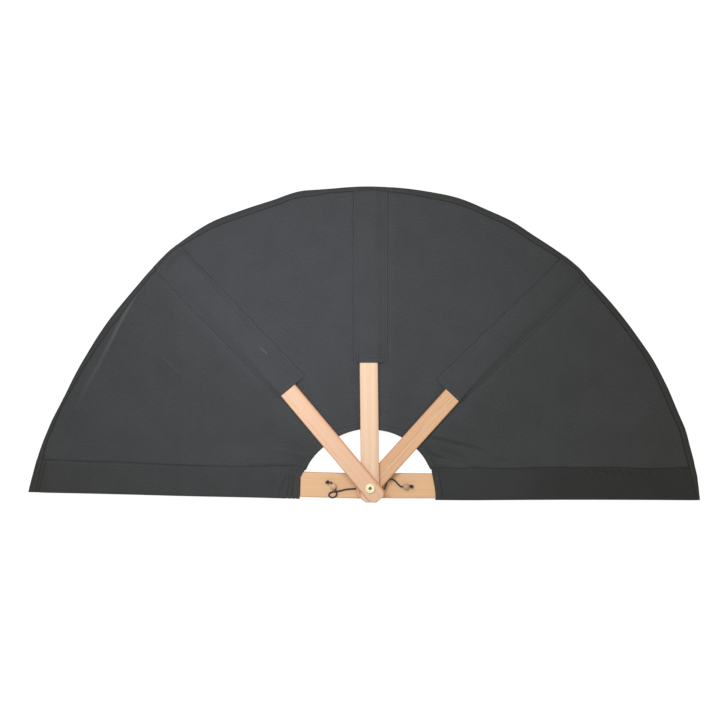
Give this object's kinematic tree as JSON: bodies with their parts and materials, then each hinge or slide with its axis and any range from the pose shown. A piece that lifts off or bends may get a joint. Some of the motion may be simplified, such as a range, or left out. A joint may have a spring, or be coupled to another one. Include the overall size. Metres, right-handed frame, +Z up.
{
  "type": "folding sauna fan",
  "caption": "Large folding hand fan: flat wooden ribs turn on one pivot screw under a sewn cloth half-disc with rib pockets; a beaded cord is wound round the pivot.",
  "frame": {"origin": "on the pivot axis, at the flat back face of the barrel nut, which lies on the table", "axes": "+X towards the right guard rib, +Y towards the middle rib, +Z up out of the table, towards the screw head"},
  "size_m": [1.1055, 0.5105, 0.0475],
  "materials": {
    "beech_pale": "fine sanded beech, pale, oiled",
    "beech_warm": "fine sanded beech, warm, oiled",
    "beech_tan": "fine sanded beech, tan, oiled",
    "beech_guard": "fine sanded beech, oiled",
    "cloth": "matt charcoal woven polyester",
    "brass": "satin",
    "cord_navy": "matt braided cord",
    "bead_wood": "turned beech, waxed",
    "washer_black": "matt nylon"
  },
  "bodies": {
    "fan_middle": {"rib_middle": "beech_pale", "pocket_middle": "cloth", "barrel_nut": "brass", "socket_screw": "brass", "washer_guards": "washer_black", "washer_lower": "washer_black", "washer_upper": "washer_black", "cord_spacer": "washer_black", "cord_winding": "cord_navy", "cord_left": "cord_navy", "cord_right": "cord_navy", "bead_left": "bead_wood", "bead_right": "bead_wood", "knot_left": "cord_navy", "knot_right": "cord_navy"},
    "left_rib": {"rib_left": "beech_warm", "pocket_left": "cloth", "leaf_mid_left": "cloth"},
    "left_guard": {"guard_left": "beech_guard", "tunnel_left": "cloth", "leaf_far_left": "cloth"},
    "right_rib": {"rib_right": "beech_tan", "pocket_right": "cloth", "leaf_mid_right": "cloth"},
    "right_guard": {"guard_right": "beech_guard", "tunnel_right": "cloth", "leaf_far_right": "cloth"}
  },
  "joints": [
    {"name": "left_rib_fold", "type": "hinge", "parent": "fan_middle", "child": "left_rib", "pos_m": [0, 0, 0], "axis": [0, 0, -1], "range_deg": [0, 39.4], "deforming": ["leaf_mid_left"]},
    {"name": "left_guard_fold", "type": "hinge", "parent": "left_rib", "child": "left_guard", "pos_m": [0, 0, 0], "axis": [0, 0, -1], "range_deg": [0, 48.36], "deforming": ["leaf_far_left"]},
    {"name": "right_rib_fold", "type": "hinge", "parent": "fan_middle", "child": "right_rib", "pos_m": [0, 0, 0], "axis": [0, 0, 1], "range_deg": [0, 42.6], "deforming": ["leaf_mid_right"]},
    {"name": "right_guard_fold", "type": "hinge", "parent": "right_rib", "child": "right_guard", "pos_m": [0, 0, 0], "axis": [0, 0, 1], "range_deg": [0, 48.2], "deforming": ["leaf_far_right"]}
  ]
}
